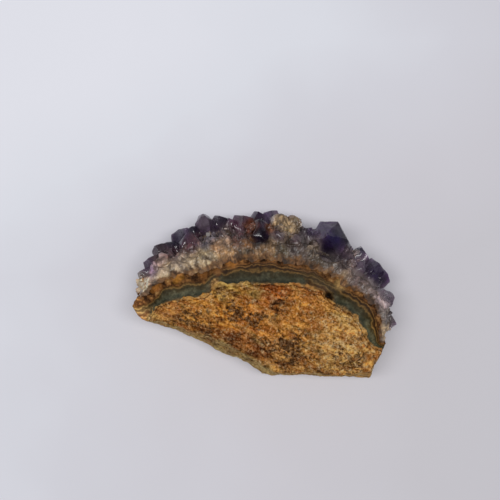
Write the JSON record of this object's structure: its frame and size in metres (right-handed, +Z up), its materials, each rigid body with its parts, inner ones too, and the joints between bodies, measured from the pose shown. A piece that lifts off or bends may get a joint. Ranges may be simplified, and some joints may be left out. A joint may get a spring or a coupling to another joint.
{
  "type": "amethyst crystal",
  "caption": "Broken half-moon piece of an amethyst crust: basalt, a chalcedony band and a dome of grown-together quartz points, lying on a flat cut.",
  "frame": {"origin": "centre of the bounding box at the height of the flat cut that the piece lies on", "axes": "+X along the piece's length, +Y from the basalt towards the points at the top of the dome, +Z up from the cut to the broken face that shows the layers"},
  "size_m": [0.0788, 0.0513, 0.0291],
  "materials": {
    "host_rock": "weathered ochre basalt, granular and pitted, matte",
    "agate_band": "banded grey-green chalcedony with rusty seams, waxy",
    "amethyst_crust": "clear purple quartz points on a milky, iron-stained foot, glassy"
  },
  "bodies": {
    "root": {"host_rock": "host_rock", "agate_band": "agate_band", "amethyst_crust": "amethyst_crust"}
  },
  "joints": []
}
